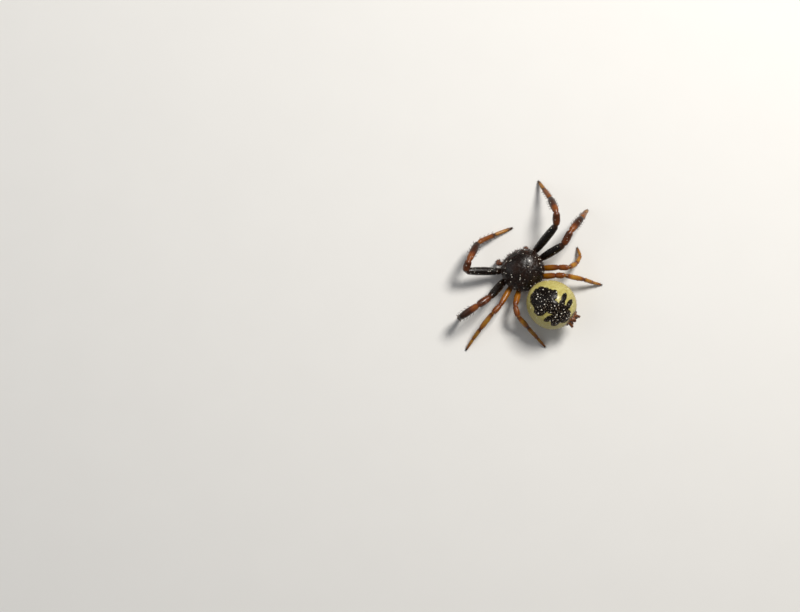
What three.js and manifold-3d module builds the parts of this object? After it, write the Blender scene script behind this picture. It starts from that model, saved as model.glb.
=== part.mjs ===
// A small crab spider standing on eight legs, life size.
// Millimetres, +Z up. The head faces -Y, so the animal's right side is -X. The feet rest on z = 0.
import * as THREE from "three";
import { mergeVertices } from "three/addons/utils/BufferGeometryUtils.js";
import Module from "manifold-3d";

const wasm = await Module();
wasm.setup();

// Driving sizes
const GAP = 0.025; // left between two pieces that meet
const SLIVER = 0.004; // faces thinner than this are taken out after a cut
const CARAPACE = {
  halfWidth: 1.375,
  halfLength: 1.375,
  rim: 1.12, // height of the widest level
  dome: 0.95,
  under: 0.15,
  frontLength: 0.94, // the head end is this much shorter than the rear
  squareness: 2.3, // 2 would leave the head's outline a circle
};
const ABDOMEN = {
  centre: [-0.42, 2.8, 1.86],
  halfLength: 1.62,
  halfWidth: 1.53,
  halfHeight: 1.43,
  swing: 25, // degrees to the animal's right of the carapace's axis
  lift: -6, // degrees, the rear end is a little lower than the front
};
const STERNUM = { centre: [0, 0.08, 0.7], half: [0.42, 0.72, 0.24], top: 0.94 };

// Each leg's joints, seen from above in millimetres, with their heights: the coxa's inner end,
// the femur's base, the knee, then the ends of the patella, tibia, metatarsus and tarsus.
const LEGS = {
  right_1: [[-0.42, -0.5, 0.74], [-1.22, -0.62, 0.82], [-3.21, -1.41, 2.35], [-3.6, -2.14, 2.82],
    [-3.78, -3.12, 1.8], [-3.79, -3.82, 0.8], [-3.8, -4.41, 0.055]],
  right_2: [[-0.52, -0.05, 0.74], [-1.3, -0.05, 0.82], [-2.98, -0.1, 2.3], [-3.78, -0.63, 2.72],
    [-4.92, -1.03, 1.9], [-5.28, -1.16, 0.82], [-5.58, -1.22, 0.055]],
  right_3: [[-0.48, 0.36, 0.74], [-1.1, 0.5, 0.8], [-2.02, 0.98, 1.6], [-2.58, 1.34, 1.72],
    [-3.2, 1.36, 1.12], [-3.68, 1.08, 0.55], [-3.8, 0.56, 0.055]],
  right_4: [[-0.32, 0.66, 0.74], [-0.78, 0.93, 0.78], [-1.62, 1.35, 1.45], [-2.12, 1.64, 1.62],
    [-3.1, 2.5, 1.0], [-3.5, 2.95, 0.5], [-3.95, 3.37, 0.055]],
  left_1: [[0.42, -0.5, 0.74], [1.22, -0.62, 0.82], [3.24, -1.8, 1.65], [2.72, -2.28, 2.1],
    [1.6, -2.98, 1.1], [0.38, -2.86, 0.42], [-0.8, -2.68, 0.055]],
  left_2: [[0.52, -0.05, 0.74], [1.3, -0.02, 0.82], [2.74, 0.42, 2.15], [3.66, 0.48, 2.45],
    [5.08, 0.6, 1.9], [4.97, 0.6, 0.88], [4.72, 0.56, 0.055]],
  left_3: [[0.48, 0.36, 0.74], [1.1, 0.5, 0.8], [2.4, 1.22, 1.35], [3.06, 1.4, 1.5],
    [4.3, 1.92, 0.95], [4.98, 2.24, 0.45], [5.68, 2.62, 0.055]],
  left_4: [[0.32, 0.66, 0.74], [0.78, 0.93, 0.78], [1.6, 1.72, 1.45], [1.78, 2.4, 1.5],
    [1.56, 3.36, 0.9], [1.36, 4.26, 0.42], [1.2, 5.0, 0.055]],
};

// Largest radius of each leg segment, in the two strong front pairs and the two slight rear ones
const RADII = {
  front: { coxa: 0.21, femur: 0.275, patella: 0.245, tibia: 0.24, metatarsus: 0.155, tarsus: 0.12 },
  rear: { coxa: 0.17, femur: 0.2, patella: 0.185, tibia: 0.165, metatarsus: 0.13, tarsus: 0.1 },
};

// How a segment's radius runs from its base to its end: [place, share of the largest radius]
const PROFILES = {
  coxa: [[0, 0.8], [0.12, 0.95], [0.5, 1], [0.72, 0.86], [0.86, 0.94], [1, 0.84]],
  femur: [[0, 0.66], [0.06, 0.76], [0.2, 0.9], [0.45, 1], [0.7, 0.97], [0.9, 0.86], [1, 0.72]],
  patella: [[0, 0.74], [0.14, 0.92], [0.5, 1], [0.82, 0.95], [1, 0.76]],
  tibia: [[0, 0.7], [0.1, 0.86], [0.4, 0.98], [0.65, 1], [0.88, 0.86], [1, 0.68]],
  metatarsus: [[0, 0.9], [0.12, 1.04], [0.6, 0.95], [0.92, 0.92], [1, 0.82]],
  tarsus: [[0, 0.86], [0.1, 1], [0.5, 0.92], [0.85, 0.72], [1, 0.62]],
};

const COLOURS = {
  dark: [0x1d100c, 0.32],
  brown: [0x4a2413, 0.38],
  ochre: [0xb9842f, 0.42],
  cream: [0xd9d189, 0.3],
  eye: [0x140b08, 0.08],
};

function material(name) {
  const [color, roughness] = COLOURS[name];
  return new THREE.MeshStandardMaterial({ color, roughness, metalness: 0 });
}

// Smooth value of a profile at a place from 0 to 1
function along(profile, place) {
  for (let i = 1; i < profile.length; i++) {
    const [a, low] = profile[i - 1];
    const [b, high] = profile[i];
    if (place <= b) {
      const t = (place - a) / (b - a);
      return low + (high - low) * (t * t * (3 - 2 * t));
    }
  }
  return profile[profile.length - 1][1];
}

// Manifold solids from three.js geometry, and back
function solidOf(geometry) {
  const bare = geometry.clone();
  bare.deleteAttribute("normal");
  bare.deleteAttribute("uv");
  const merged = mergeVertices(bare, 1e-4);
  const vertProperties = merged.attributes.position.array;
  const kept = [];
  const corners = merged.index.array;
  for (let i = 0; i < corners.length; i += 3) {
    const [a, b, c] = [corners[i], corners[i + 1], corners[i + 2]];
    if (a !== b && b !== c && a !== c) kept.push(a, b, c);
  }
  const triVerts = new Uint32Array(kept);
  return new wasm.Manifold(new wasm.Mesh({ numProp: 3, vertProperties, triVerts }));
}

function geometryOf(solid) {
  const largest = solid.decompose().sort((a, b) => b.volume() - a.volume())[0];
  const mesh = largest.simplify(SLIVER).getMesh();
  const places = new Float32Array(mesh.numVert * 3);
  for (let i = 0; i < mesh.numVert; i++) {
    const at = i * mesh.numProp;
    places.set(mesh.vertProperties.subarray(at, at + 3), i * 3);
  }
  const geometry = new THREE.BufferGeometry();
  geometry.setAttribute("position", new THREE.BufferAttribute(places, 3));
  geometry.setIndex(new THREE.BufferAttribute(new Uint32Array(mesh.triVerts), 1));
  geometry.computeVertexNormals();
  return geometry;
}

function joined(solids) {
  return solids.reduce((all, next) => all.add(next));
}

// A closed tube swept along a curve, with a round section whose radius follows radiusAt
function tube(curve, radiusAt, rings, sides, onFloor) {
  const places = [];
  const faces = [];
  const tangent = curve.getTangentAt(0);
  const across = new THREE.Vector3(0, 0, 1).cross(tangent);
  if (across.length() < 0.2) across.set(1, 0, 0).cross(tangent);
  across.normalize();
  for (let ring = 0; ring <= rings; ring++) {
    const place = ring / rings;
    const eased = place - 0.07 * Math.sin(2 * Math.PI * place); // rings sit closer near the ends
    const centre = curve.getPointAt(eased);
    const way = curve.getTangentAt(eased);
    across.addScaledVector(way, -across.dot(way)).normalize();
    const up = way.clone().cross(across);
    const radius = radiusAt(eased);
    for (let side = 0; side < sides; side++) {
      const turn = (2 * Math.PI * side) / sides;
      const point = centre.clone()
        .addScaledVector(across, radius * Math.cos(turn))
        .addScaledVector(up, radius * Math.sin(turn));
      places.push(point.x, point.y, onFloor ? Math.max(0, point.z) : point.z);
    }
  }
  for (let ring = 0; ring < rings; ring++) {
    for (let side = 0; side < sides; side++) {
      const next = (side + 1) % sides;
      const [a, b] = [ring * sides + side, ring * sides + next];
      const [c, d] = [a + sides, b + sides];
      faces.push(a, b, c, b, d, c);
    }
  }
  const first = places.length / 3;
  const [start, end] = [curve.getPointAt(0), curve.getPointAt(1)];
  places.push(start.x, start.y, start.z, end.x, end.y, end.z);
  for (let side = 0; side < sides; side++) {
    const next = (side + 1) % sides;
    faces.push(first, next, side);
    faces.push(first + 1, rings * sides + side, rings * sides + next);
  }
  const geometry = new THREE.BufferGeometry();
  geometry.setAttribute("position", new THREE.BufferAttribute(new Float32Array(places), 3));
  geometry.setIndex(faces);
  return solidOf(geometry);
}

// The stretch of a jointed limb between two joints, with half of the bend at each of them
function stretch(joints, from, to) {
  const BEND = 0.3; // share of the shorter neighbour that a bend takes up
  const reach = (i) => Math.min(
    joints[i].distanceTo(joints[i - 1]),
    joints[i].distanceTo(joints[i + 1]),
  ) * BEND;
  const toward = (a, b, length) => joints[a].clone()
    .addScaledVector(joints[b].clone().sub(joints[a]).normalize(), length);
  const path = new THREE.CurvePath();
  let here = joints[from];
  if (from > 0) {
    const before = toward(from, from - 1, reach(from));
    const after = toward(from, from + 1, reach(from));
    const middle = before.clone().add(after).multiplyScalar(0.25).addScaledVector(joints[from], 0.5);
    const control = after.clone().add(joints[from]).multiplyScalar(0.5);
    path.add(new THREE.QuadraticBezierCurve3(middle, control, after));
    here = after;
  }
  for (let i = from + 1; i <= to; i++) {
    const last = i === joints.length - 1;
    if (last) {
      path.add(new THREE.LineCurve3(here, joints[i]));
      break;
    }
    const [before, after] = [toward(i, i - 1, reach(i)), toward(i, i + 1, reach(i))];
    path.add(new THREE.LineCurve3(here, before));
    if (i < to) {
      path.add(new THREE.QuadraticBezierCurve3(before, joints[i], after));
      here = after;
    } else {
      const middle = before.clone().add(after).multiplyScalar(0.25).addScaledVector(joints[i], 0.5);
      const control = before.clone().add(joints[i]).multiplyScalar(0.5);
      path.add(new THREE.QuadraticBezierCurve3(before, control, middle));
    }
  }
  return path;
}

// The same curve with a little cut from its ends, or run on straight where a cut is negative
class Trimmed extends THREE.Curve {
  constructor(curve, cutStart, cutEnd) {
    super();
    this.curve = curve;
    this.whole = curve.getLength();
    this.low = cutStart / this.whole;
    this.high = 1 - cutEnd / this.whole;
  }

  getPoint(t) {
    const place = this.low + (this.high - this.low) * t;
    const inside = THREE.MathUtils.clamp(place, 0, 1);
    const beyond = (place - inside) * this.whole;
    return this.curve.getPointAt(inside).addScaledVector(this.curve.getTangentAt(inside), beyond);
  }
}

function segment(joints, from, to, profile, radius, sides, grow = 0, more = {}) {
  const { rings = 8, onFloor = false, spines = null } = more;
  const cut = GAP / 2 - grow;
  const curve = new Trimmed(stretch(joints, from, to), cut, to < joints.length - 1 ? cut : 0);
  const radiusAt = (place) => radius * along(profile, place) + grow;
  const solid = tube(curve, radiusAt, rings, sides, onFloor);
  return spines ? withSpines(solid, curve, radiusAt, spines) : solid;
}

function ball(centre, half, columns = 10, rows = 7) {
  const geometry = new THREE.SphereGeometry(1, columns, rows);
  geometry.scale(...half);
  geometry.translate(...centre);
  return solidOf(geometry);
}

// Stiff spines on the gripping legs: places along the segment, the angle from its underside and a length
const SPINES = {
  femur: { places: [0.3, 0.45, 0.6, 0.74], angles: [150, -150], length: 0.2 },
  tibia: { places: [0.34, 0.52, 0.7, 0.86], angles: [60, -60], length: 0.34 },
  foot: { places: [0.1, 0.22, 0.34, 0.46], angles: [62, -62], length: 0.3 },
};
const SPINE = { radius: 0.026, lean: 50, sunk: 0.05, sides: 4, root: 0.9 };

function withSpines(solid, curve, radiusAt, { places, angles, length }) {
  const pieces = [solid];
  for (const place of places) {
    const at = curve.getPointAt(place);
    const way = curve.getTangentAt(place);
    const under = new THREE.Vector3(0, 0, -1).addScaledVector(way, way.z).normalize();
    for (const angle of angles) {
      const out = under.clone().applyAxisAngle(way, THREE.MathUtils.degToRad(angle));
      const lean = THREE.MathUtils.degToRad(SPINE.lean);
      const point = out.clone().multiplyScalar(Math.cos(lean)).addScaledVector(way, Math.sin(lean));
      const cone = new THREE.ConeGeometry(SPINE.radius, length + SPINE.sunk, SPINE.sides);
      cone.translate(0, (length - SPINE.sunk) / 2, 0);
      cone.applyQuaternion(new THREE.Quaternion().setFromUnitVectors(new THREE.Vector3(0, 1, 0), point));
      const root = at.clone().addScaledVector(out, radiusAt(place) * SPINE.root);
      cone.translate(root.x, root.y, root.z);
      pieces.push(solidOf(cone));
    }
  }
  return joined(pieces);
}

// Metatarsus and tarsus in one, pressed flat where the tip rests on the floor
const FOOT = { sides: 8, rings: 15, step: 0.03 }; // step: share of the foot between the two segments

function footSolid(points, radii, spines) {
  const [base, middle, tip] = points.slice(4);
  const upper = base.distanceTo(middle);
  const split = upper / (upper + middle.distanceTo(tip));
  const start = split + FOOT.step;
  const profile = [
    ...PROFILES.metatarsus.map(([place, share]) => [place * split, share * radii.metatarsus]),
    ...PROFILES.tarsus.map(([place, share]) => [start + place * (1 - start), share * radii.tarsus]),
  ];
  const more = { rings: FOOT.rings, onFloor: true, spines };
  return segment(points, 4, 6, profile, 1, FOOT.sides, 0, more);
}

function isFront(leg) {
  return leg.endsWith("_1") || leg.endsWith("_2");
}

function legSolids(name, joints) {
  const front = isFront(name);
  const radii = front ? RADII.front : RADII.rear;
  const sides = front ? 10 : 8;
  const points = joints.map((joint) => new THREE.Vector3(...joint));
  const made = {};
  ["coxa", "femur", "patella", "tibia"].forEach((part, i) => {
    const spines = front ? SPINES[part] : null;
    made[part] = segment(points, i, i + 1, PROFILES[part], radii[part], sides, 0, { spines });
  });
  made.foot = footSolid(points, radii, front ? SPINES.foot : null);
  made.clearance = ["coxa", "femur"].map((part, i) => (
    segment(points, i, i + 1, PROFILES[part], radii[part], sides, GAP)
  ));
  return made;
}

// The carapace is a helmet, nearly round from above, squarer and blunter at the head
function carapaceScale(a, b) {
  if (b >= 0) return 1;
  const n = CARAPACE.squareness;
  const corner = Math.pow(Math.abs(a) ** n + Math.abs(b) ** n, -1 / n);
  const level = Math.hypot(a, b);
  return level > 0 ? THREE.MathUtils.lerp(1, corner * level, Math.min(1, -2 * b / level)) : 1;
}

function carapacePoint(a, b, c, grow = 0) {
  const wide = carapaceScale(a, b);
  const long = b < 0 ? CARAPACE.frontLength : 1;
  const up = Math.pow(Math.abs(c), 0.8);
  return [
    a * wide * (CARAPACE.halfWidth + grow),
    b * wide * (CARAPACE.halfLength * long + grow),
    CARAPACE.rim + (c > 0 ? up * (CARAPACE.dome + grow) : -up * (CARAPACE.under + grow)),
  ];
}

// The point on the carapace's upper side at a bearing from the head and a share of the way to the rim
function onCarapace(bearing, out) {
  const turn = THREE.MathUtils.degToRad(bearing);
  return carapacePoint(out * Math.sin(turn), -out * Math.cos(turn), Math.sqrt(1 - out * out));
}

function carapaceDome(grow = 0) {
  const geometry = new THREE.SphereGeometry(1, 36, 22);
  geometry.rotateX(Math.PI / 2);
  const position = geometry.attributes.position;
  for (let i = 0; i < position.count; i++) {
    position.setXYZ(i, ...carapacePoint(position.getX(i), position.getY(i), position.getZ(i), grow));
  }
  return solidOf(geometry);
}

// Eight eyes in two curved rows, the outer ones on low knobs: bearing from the head's middle and
// share of the way to the rim
const EYES = {
  front_median: { bearing: 9, out: 0.955, radius: 0.055 },
  front_lateral: { bearing: 25, out: 0.945, radius: 0.088 },
  rear_median: { bearing: 14, out: 0.83, radius: 0.048 },
  rear_lateral: { bearing: 39, out: 0.885, radius: 0.07 },
};

function eyePlace(eye, sign) {
  const [x, y, z] = onCarapace(eye.bearing, eye.out);
  return [sign * x, y, z];
}

const SIDES = { right: -1, left: 1 };
const KNOB = { size: 1.5, back: 0.45, down: 0.3 }; // shares of the radius of the eye that sits on it

function carapaceSolid(clearances) {
  let solid = carapaceDome();
  for (const sign of Object.values(SIDES)) {
    for (const name of ["front_lateral", "rear_lateral"]) {
      const eye = EYES[name];
      const [x, y, z] = eyePlace(eye, sign);
      const centre = [x, y + eye.radius * KNOB.back, z - eye.radius * KNOB.down];
      solid = solid.add(ball(centre, Array(3).fill(eye.radius * KNOB.size)));
    }
  }
  for (const clearance of clearances) solid = solid.subtract(clearance);
  for (const sign of Object.values(SIDES)) {
    for (const eye of Object.values(EYES)) {
      solid = solid.subtract(ball(eyePlace(eye, sign), Array(3).fill(eye.radius + GAP / 2)));
    }
  }
  return solid;
}

// Jaws hang below the front of the head, and the feelers curve down beside them
function cheliceraSolid(sign, grow = 0) {
  const joints = [[0.27, -1.02, 0.98], [0.26, -1.13, 0.72], [0.2, -1.16, 0.42]]
    .map(([x, y, z]) => new THREE.Vector3(sign * x, y, z));
  const profile = [[0, 0.9], [0.2, 1], [0.6, 0.92], [0.9, 0.6], [1, 0.4]];
  return segment(joints, 0, 2, profile, 0.23, 12, grow);
}

// The left feeler reaches out further than the right one
const PALPS = {
  right: [[0.56, -0.86, 0.76], [0.8, -0.95, 0.74], [0.92, -0.98, 0.7], [0.92, -1.1, 0.45],
    [0.82, -1.14, 0.22]],
  left: [[0.56, -0.86, 0.76], [0.95, -1.05, 0.85], [1.17, -1.12, 0.82], [1.13, -1.25, 0.52],
    [0.95, -1.28, 0.25]],
};

function palpSolid(side, grow = 0) {
  const joints = PALPS[side].map(([x, y, z]) => new THREE.Vector3(SIDES[side] * x, y, z));
  const profile = [[0, 0.8], [0.3, 0.98], [0.42, 0.86], [0.62, 1.05], [0.8, 1], [1, 0.4]];
  return segment(joints, 0, 4, profile, 0.125, 10, grow);
}

// The abdomen is a globe that widens toward its rear
function abdomenSolid(grow = 0) {
  const geometry = new THREE.SphereGeometry(1, 36, 22);
  geometry.rotateX(Math.PI / 2);
  const position = geometry.attributes.position;
  for (let i = 0; i < position.count; i++) {
    const [a, b, c] = [position.getX(i), position.getY(i), position.getZ(i)];
    const swell = 1 + 0.04 * b;
    position.setXYZ(
      i,
      a * (ABDOMEN.halfWidth + grow) * swell,
      b * (ABDOMEN.halfLength + grow),
      c * (ABDOMEN.halfHeight + grow) * swell,
    );
  }
  return solidOf(inAbdomenFrame(geometry));
}

function inAbdomenFrame(geometry) {
  geometry.rotateX(THREE.MathUtils.degToRad(ABDOMEN.lift));
  geometry.rotateZ(THREE.MathUtils.degToRad(ABDOMEN.swing));
  geometry.translate(...ABDOMEN.centre);
  return geometry;
}

// Six short spinnerets and the anal tubercle above them, on one low mound, in the abdomen's frame
const SPINNERETS = {
  root: [0, ABDOMEN.halfLength - 0.12, 0.1],
  mound: [0.42, 0.27, 0.4],
  taper: 0.55,
  splay: 0.35, // radians that each one leans outwards
  cones: [
    { out: 0.24, up: 0.16, length: 0.42, radius: 0.13 },
    { out: 0.23, up: -0.16, length: 0.46, radius: 0.135 },
    { out: 0.09, up: -0.02, length: 0.36, radius: 0.09 },
  ],
  tubercle: { half: [0.15, 0.25, 0.12], back: 0.12, up: 0.36 },
};

function spinneretSolid() {
  const [x, y, z] = SPINNERETS.root;
  const mound = new THREE.SphereGeometry(1, 14, 10);
  mound.scale(...SPINNERETS.mound);
  mound.translate(x, y, z);
  const pieces = [mound];
  for (const { out, up, length, radius } of SPINNERETS.cones) {
    for (const sign of Object.values(SIDES)) {
      const cone = new THREE.CylinderGeometry(radius * SPINNERETS.taper, radius, length, 9);
      cone.translate(0, length / 2, 0);
      cone.rotateZ(-sign * SPINNERETS.splay);
      cone.translate(x + sign * out, y, z + up);
      pieces.push(cone);
    }
  }
  const { half, back, up } = SPINNERETS.tubercle;
  const tubercle = new THREE.SphereGeometry(1, 10, 8);
  tubercle.scale(...half);
  tubercle.translate(x, y + back, z + up);
  pieces.push(tubercle);
  return joined(pieces.map((piece) => solidOf(inAbdomenFrame(piece)))).subtract(abdomenSolid(GAP));
}

function sternumSolid(clearances) {
  let solid = ball(STERNUM.centre, STERNUM.half, 28, 14);
  const above = new THREE.BoxGeometry(4, 4, 1);
  above.translate(0, 0, STERNUM.top + 0.5);
  solid = solid.subtract(solidOf(above));
  for (const clearance of clearances) solid = solid.subtract(clearance);
  return solid;
}

function pedicelSolid() {
  const joints = [[0, 0.8, 1.06], [0.02, 1.3, 1.08], [0.14, 1.9, 1.2]]
    .map((joint) => new THREE.Vector3(...joint));
  const solid = segment(joints, 0, 2, [[0, 1], [0.5, 0.9], [1, 1]], 0.15, 12);
  return solid.subtract(carapaceDome(GAP)).subtract(abdomenSolid(GAP));
}

// Assembly
const animal = new THREE.Group();

function place(name, solid, colour) {
  const mesh = new THREE.Mesh(geometryOf(solid), material(colour));
  mesh.name = name;
  animal.add(mesh);
}

const legs = Object.entries(LEGS).map(([name, joints]) => [name, legSolids(name, joints)]);
const legClearances = legs.flatMap(([, made]) => made.clearance);
const mouthClearances = Object.entries(SIDES)
  .flatMap(([side, sign]) => [cheliceraSolid(sign, GAP), palpSolid(side, GAP)]);

place("carapace", carapaceSolid([...legClearances, ...mouthClearances]), "dark");
place("sternum", sternumSolid([...legClearances, ...mouthClearances]), "brown");
place("pedicel", pedicelSolid(), "brown");
place("abdomen", abdomenSolid(), "cream");
place("spinnerets", spinneretSolid(), "brown");
for (const [side, sign] of Object.entries(SIDES)) {
  place(`${side}_chelicera`, cheliceraSolid(sign), "brown");
  place(`${side}_palp`, palpSolid(side).subtract(cheliceraSolid(sign, GAP)), "brown");
  for (const [name, eye] of Object.entries(EYES)) {
    place(`${side}_eye_${name}`, ball(eyePlace(eye, sign), Array(3).fill(eye.radius)), "eye");
  }
}
for (const [name, made] of legs) {
  const front = isFront(name);
  place(`leg_${name}_coxa`, made.coxa, front ? "brown" : "ochre");
  place(`leg_${name}_femur`, made.femur, front ? "dark" : "ochre");
  place(`leg_${name}_patella`, made.patella, front ? "brown" : "ochre");
  place(`leg_${name}_tibia`, made.tibia, front ? "brown" : "ochre");
  place(`leg_${name}_foot`, made.foot, "ochre");
}

// The origin is on the floor, under the middle of the animal
const extent = new THREE.Box3().setFromObject(animal);
const middle = extent.getCenter(new THREE.Vector3());
animal.position.set(-middle.x, -middle.y, 0);

const spider = new THREE.Group();
spider.add(animal);

export default spider;
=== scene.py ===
import math

import bpy
import numpy as np
from mathutils import Matrix, Vector


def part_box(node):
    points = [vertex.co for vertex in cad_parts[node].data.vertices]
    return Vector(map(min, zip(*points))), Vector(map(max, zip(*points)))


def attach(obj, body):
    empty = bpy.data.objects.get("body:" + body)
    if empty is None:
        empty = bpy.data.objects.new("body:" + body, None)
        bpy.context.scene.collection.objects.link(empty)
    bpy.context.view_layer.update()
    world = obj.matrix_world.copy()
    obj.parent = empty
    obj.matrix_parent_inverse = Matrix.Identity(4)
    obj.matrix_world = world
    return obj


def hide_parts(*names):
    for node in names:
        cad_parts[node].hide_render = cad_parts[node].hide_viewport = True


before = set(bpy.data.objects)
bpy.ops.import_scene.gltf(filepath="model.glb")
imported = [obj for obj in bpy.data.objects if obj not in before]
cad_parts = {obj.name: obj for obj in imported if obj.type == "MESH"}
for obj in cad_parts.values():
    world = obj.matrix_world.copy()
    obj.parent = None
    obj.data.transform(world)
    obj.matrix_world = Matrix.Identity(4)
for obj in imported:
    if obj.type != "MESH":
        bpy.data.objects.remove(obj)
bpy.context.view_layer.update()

# Everything is shaped in millimetres and made metres when it is finished
MM = 0.001
rng = np.random.default_rng(7)

# Sizes of the body, as in the solids
CARAPACE = {"half_width": 1.375, "half_length": 1.375, "rim": 1.12, "dome": 0.95, "under": 0.15, "full": 0.8}
HEAD = {"short": 0.94, "square": 2.3, "blend": 2}
ABDOMEN = {"centre": (-0.42, 2.8, 1.86), "half": (1.53, 1.62, 1.43), "swing": 25, "lift": -6, "swell": 0.04}

# Each leg's joints: coxa, femur's base, knee, ends of patella, tibia, metatarsus and tarsus
LEGS = {
    "right_1": [(-0.42, -0.5, 0.74), (-1.22, -0.62, 0.82), (-3.21, -1.41, 2.35), (-3.6, -2.14, 2.82),
                (-3.78, -3.12, 1.8), (-3.79, -3.82, 0.8), (-3.8, -4.41, 0.055)],
    "right_2": [(-0.52, -0.05, 0.74), (-1.3, -0.05, 0.82), (-2.98, -0.1, 2.3), (-3.78, -0.63, 2.72),
                (-4.92, -1.03, 1.9), (-5.28, -1.16, 0.82), (-5.58, -1.22, 0.055)],
    "right_3": [(-0.48, 0.36, 0.74), (-1.1, 0.5, 0.8), (-2.02, 0.98, 1.6), (-2.58, 1.34, 1.72),
                (-3.2, 1.36, 1.12), (-3.68, 1.08, 0.55), (-3.8, 0.56, 0.055)],
    "right_4": [(-0.32, 0.66, 0.74), (-0.78, 0.93, 0.78), (-1.62, 1.35, 1.45), (-2.12, 1.64, 1.62),
                (-3.1, 2.5, 1.0), (-3.5, 2.95, 0.5), (-3.95, 3.37, 0.055)],
    "left_1": [(0.42, -0.5, 0.74), (1.22, -0.62, 0.82), (3.24, -1.8, 1.65), (2.72, -2.28, 2.1),
               (1.6, -2.98, 1.1), (0.38, -2.86, 0.42), (-0.8, -2.68, 0.055)],
    "left_2": [(0.52, -0.05, 0.74), (1.3, -0.02, 0.82), (2.74, 0.42, 2.15), (3.66, 0.48, 2.45),
               (5.08, 0.6, 1.9), (4.97, 0.6, 0.88), (4.72, 0.56, 0.055)],
    "left_3": [(0.48, 0.36, 0.74), (1.1, 0.5, 0.8), (2.4, 1.22, 1.35), (3.06, 1.4, 1.5),
               (4.3, 1.92, 0.95), (4.98, 2.24, 0.45), (5.68, 2.62, 0.055)],
    "left_4": [(0.32, 0.66, 0.74), (0.78, 0.93, 0.78), (1.6, 1.72, 1.45), (1.78, 2.4, 1.5),
               (1.56, 3.36, 0.9), (1.36, 4.26, 0.42), (1.2, 5.0, 0.055)],
}
GRIPPING = ("right_1", "right_2", "left_1", "left_2")
SEGMENTS = ("coxa", "femur", "patella", "tibia", "metatarsus", "tarsus")
RADII = {
    "front": (0.21, 0.275, 0.245, 0.24, 0.155, 0.12),
    "rear": (0.17, 0.2, 0.185, 0.165, 0.13, 0.1),
}
# How a segment's radius runs from its base to its end: (place, share of the largest radius)
PROFILES = {
    "coxa": [(0, 0.8), (0.12, 0.95), (0.5, 1), (0.72, 0.86), (0.86, 0.94), (1, 0.84)],
    "femur": [(0, 0.66), (0.06, 0.76), (0.2, 0.9), (0.45, 1), (0.7, 0.97), (0.9, 0.86), (1, 0.72)],
    "patella": [(0, 0.74), (0.14, 0.92), (0.5, 1), (0.82, 0.95), (1, 0.76)],
    "tibia": [(0, 0.7), (0.1, 0.86), (0.4, 0.98), (0.65, 1), (0.88, 0.86), (1, 0.68)],
    "metatarsus": [(0, 0.9), (0.12, 1.04), (0.6, 0.95), (0.92, 0.92), (1, 0.82)],
    "tarsus": [(0, 0.86), (0.1, 1), (0.5, 0.92), (0.85, 0.72), (1, 0.6)],
}
# Bearing from the head's middle, share of the way to the rim, radius
EYES = {
    "front_median": (9, 0.955, 0.055),
    "front_lateral": (25, 0.945, 0.088),
    "rear_median": (14, 0.83, 0.048),
    "rear_lateral": (39, 0.885, 0.07),
}
EYE_RIM = {"out": 1.04, "thick": 0.2, "rise": 0.12}
SIDES = {"right": -1, "left": 1}
# Feelers (palps), jaws and fangs: X is how far a joint is from the middle, on either side. Each palp has its
# own joints, and both jaws share theirs. Then the radius of each segment and how it runs along it
PALPS = {
    "right": [(0.56, -0.86, 0.76), (0.8, -0.95, 0.74), (0.92, -0.98, 0.7), (0.92, -1.1, 0.45),
              (0.82, -1.14, 0.22)],
    "left": [(0.56, -0.86, 0.76), (0.95, -1.05, 0.85), (1.17, -1.12, 0.82), (1.13, -1.25, 0.52),
             (0.95, -1.28, 0.25)],
}
PALP_RADII = (0.115, 0.125, 0.125, 0.12)
PALP_PROFILES = [[(0, 0.8), (0.5, 1), (1, 0.85)]] * 3 + [[(0, 0.85), (0.35, 1), (1, 0.4)]]
JAW = [(0.27, -1.02, 0.98), (0.26, -1.13, 0.72), (0.2, -1.16, 0.42)]
JAW_RADII = (0.23, 0.22)
JAW_PROFILES = [[(0, 0.9), (0.5, 1), (1, 0.94)], [(0, 0.94), (0.6, 0.78), (1, 0.5)]]
FANG = [(0.19, -1.17, 0.4), (0.13, -1.16, 0.27), (0.02, -1.08, 0.26)]
FANG_RADIUS = 0.055
# Plates of the underside: centre and half sizes
BREAST_PLATE = {"centre": (0, 0.08, 0.7), "half": (0.42, 0.72, 0.24), "top": 0.94}
LIP = {"centre": (0, -0.72, 0.64), "half": (0.13, 0.16, 0.1)}
MOUTH_LOBE = {"centre": (0.25, -0.8, 0.66), "half": (0.12, 0.25, 0.12)}
WAIST = [(0, 0.8, 1.06), (0.02, 1.3, 1.08), (0.14, 1.9, 1.2)]
WAIST_RADII = (0.15, 0.15)
WAIST_PROFILES = [[(0, 1), (1, 0.9)], [(0, 0.9), (1, 1)]]
# The gripping legs' spines: segment, places along it, angles from its underside, length
SPINES = [
    ("femur", (0.3, 0.45, 0.6, 0.74), (150, -150), 0.21),
    ("tibia", (0.34, 0.52, 0.7, 0.86), (60, -60), 0.357),
    ("foot", (0.1, 0.22, 0.34, 0.46), (62, -62), 0.315),
]
SPINE_RADIUS = 0.023
CLAW = {"length": 0.1, "radius": 0.019, "ahead": 0.03, "apart": 0.035, "up": 0.02, "open": 0.25, "low": 0.004}
# In the abdomen's own frame. A cone is its place across and up, its length and its radius
SPINNERETS = {
    "root": (0, ABDOMEN["half"][1] - 0.12, 0.1),
    "mound": (0.42, 0.27, 0.4),
    "splay": 0.35,
    "cones": [(0.24, 0.16, 0.42, 0.13), (0.23, -0.16, 0.46, 0.135), (0.09, -0.02, 0.36, 0.09)],
    "taper": [(0, 1), (0.35, 0.94), (0.42, 0.8), (0.5, 0.84), (1, 0.6)],
    "knob": {"centre": (0, 0.12, 0.36), "half": (0.15, 0.25, 0.12)},
    "warts": {"count": 10, "across": 0.46, "up": 0.44, "radius": 0.085, "varies": 0.03},
}


# Shapes of the body

def normed(vectors):
    return vectors / np.maximum(np.linalg.norm(vectors, axis=1, keepdims=True), 1e-9)


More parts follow.
